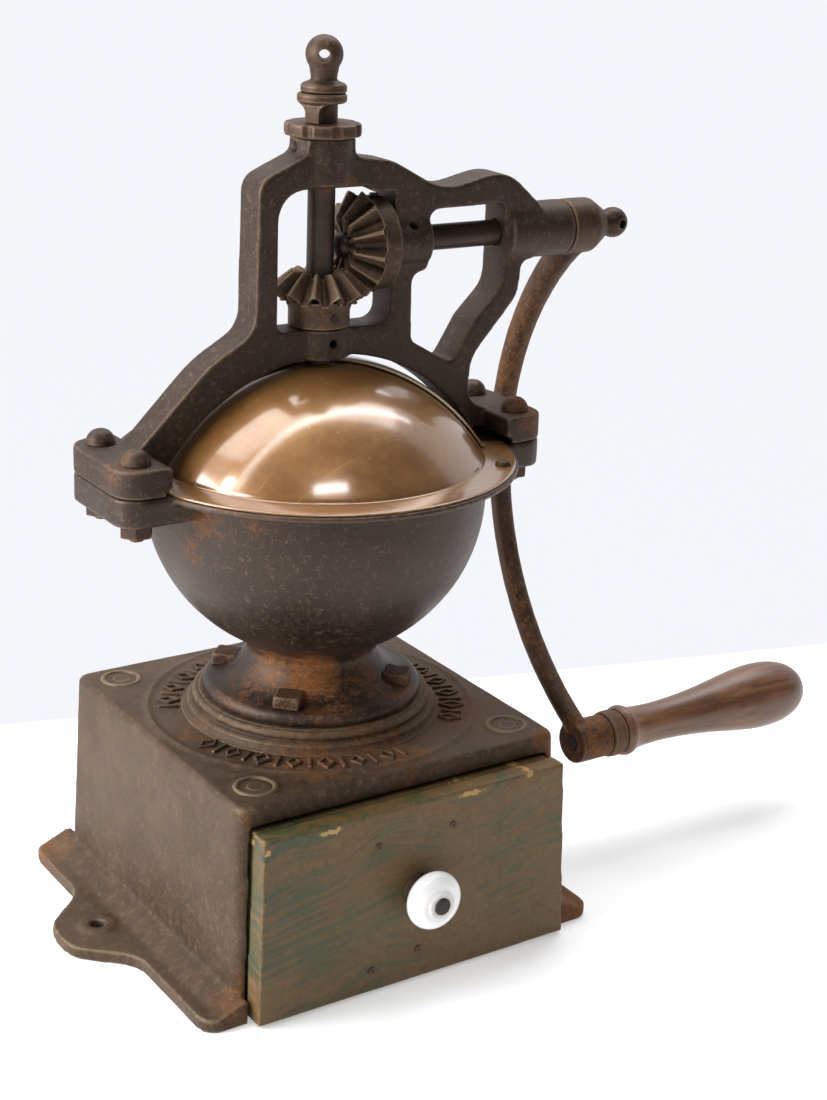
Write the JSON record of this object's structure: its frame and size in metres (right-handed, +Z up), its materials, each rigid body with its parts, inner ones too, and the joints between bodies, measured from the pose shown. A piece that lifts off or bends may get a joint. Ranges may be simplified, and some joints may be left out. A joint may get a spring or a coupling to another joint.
{
  "type": "coffee grinder",
  "caption": "Cast-iron counter coffee grinder with a bowl hopper, domed brass cover, bridge with bevel gears, side crank and a drawer.",
  "frame": {"origin": "on the bench, under the grinding shaft, at the middle of the base's deck", "axes": "+Z up along the grinding shaft, the drawer opens to -Y, the crank is on the +X side"},
  "size_m": [0.4222, 0.2139, 0.4143],
  "materials": {
    "base_iron": "worn brown cast iron, lighter at the edges",
    "hopper_iron": "dark cast iron with rust at the neck",
    "bridge_iron": "brown-grey cast iron, worn",
    "rusty_iron": "rusted iron",
    "dark_iron": "dark oiled iron",
    "gear_iron": "cast iron, teeth worn bright",
    "burr_steel": "ground hard iron",
    "shaft_steel": "brown oxidised steel",
    "brass": "tarnished brown brass",
    "walnut": "dark varnished wood",
    "green_board": "worn green paint over wood",
    "tray_sheet": "dull sheet steel",
    "porcelain": "white glazed porcelain"
  },
  "bodies": {
    "root": {"base_casting": "base_iron", "hopper_bowl": "hopper_iron", "hopper_bolts": "rusty_iron", "grinding_ring": "burr_steel", "bridge_frame": "bridge_iron", "bridge_bolts": "dark_iron", "bridge_nuts": "dark_iron", "front_cover": "brass", "cover_screws": "dark_iron"},
    "cover": {"rear_cover": "brass"},
    "shaft": {"grinding_shaft": "shaft_steel", "shaft_gear": "gear_iron", "shaft_gear_pin": "shaft_steel", "grinding_cone": "burr_steel", "cone_nut": "shaft_steel", "adjusting_nut": "dark_iron", "lock_cap": "dark_iron", "clamp_screw": "dark_iron"},
    "crank": {"crank_shaft": "shaft_steel", "crank_gear": "gear_iron", "crank_gear_pin": "shaft_steel", "crank_arm": "rusty_iron", "crank_screw": "dark_iron", "grip_spindle": "shaft_steel", "spindle_washer": "shaft_steel"},
    "grip": {"wooden_grip": "walnut", "grip_ferrule": "rusty_iron"},
    "drawer": {"drawer_front": "green_board", "drawer_tray": "tray_sheet", "drawer_nails": "dark_iron", "drawer_knob": "porcelain", "knob_collar": "dark_iron", "knob_screw": "dark_iron", "knob_nut": "shaft_steel"}
  },
  "joints": [
    {"name": "crank_turn", "type": "hinge", "parent": "root", "child": "crank", "pos_m": [0.1, 0, 0.322], "axis": [1, 0, 0], "continuous": true},
    {"name": "shaft_turn", "type": "hinge", "parent": "root", "child": "shaft", "pos_m": [0, 0, 0.3], "axis": [0, 0, 1], "continuous": true},
    {"name": "grip_spin", "type": "hinge", "parent": "crank", "child": "grip", "pos_m": [0.2, -0.03296, 0.06107], "axis": [1, 0, 0], "continuous": true},
    {"name": "cover_swing", "type": "hinge", "parent": "root", "child": "cover", "pos_m": [0, 0, 0.24], "axis": [0, 0, 1], "range_deg": [0, 150]},
    {"name": "drawer_slide", "type": "slide", "parent": "root", "child": "drawer", "axis": [0, -1, 0], "range_m": [0, 0.13]}
  ],
  "couplings": [
    {"joint": "shaft_turn", "follows": "crank_turn", "ratio": 1}
  ]
}
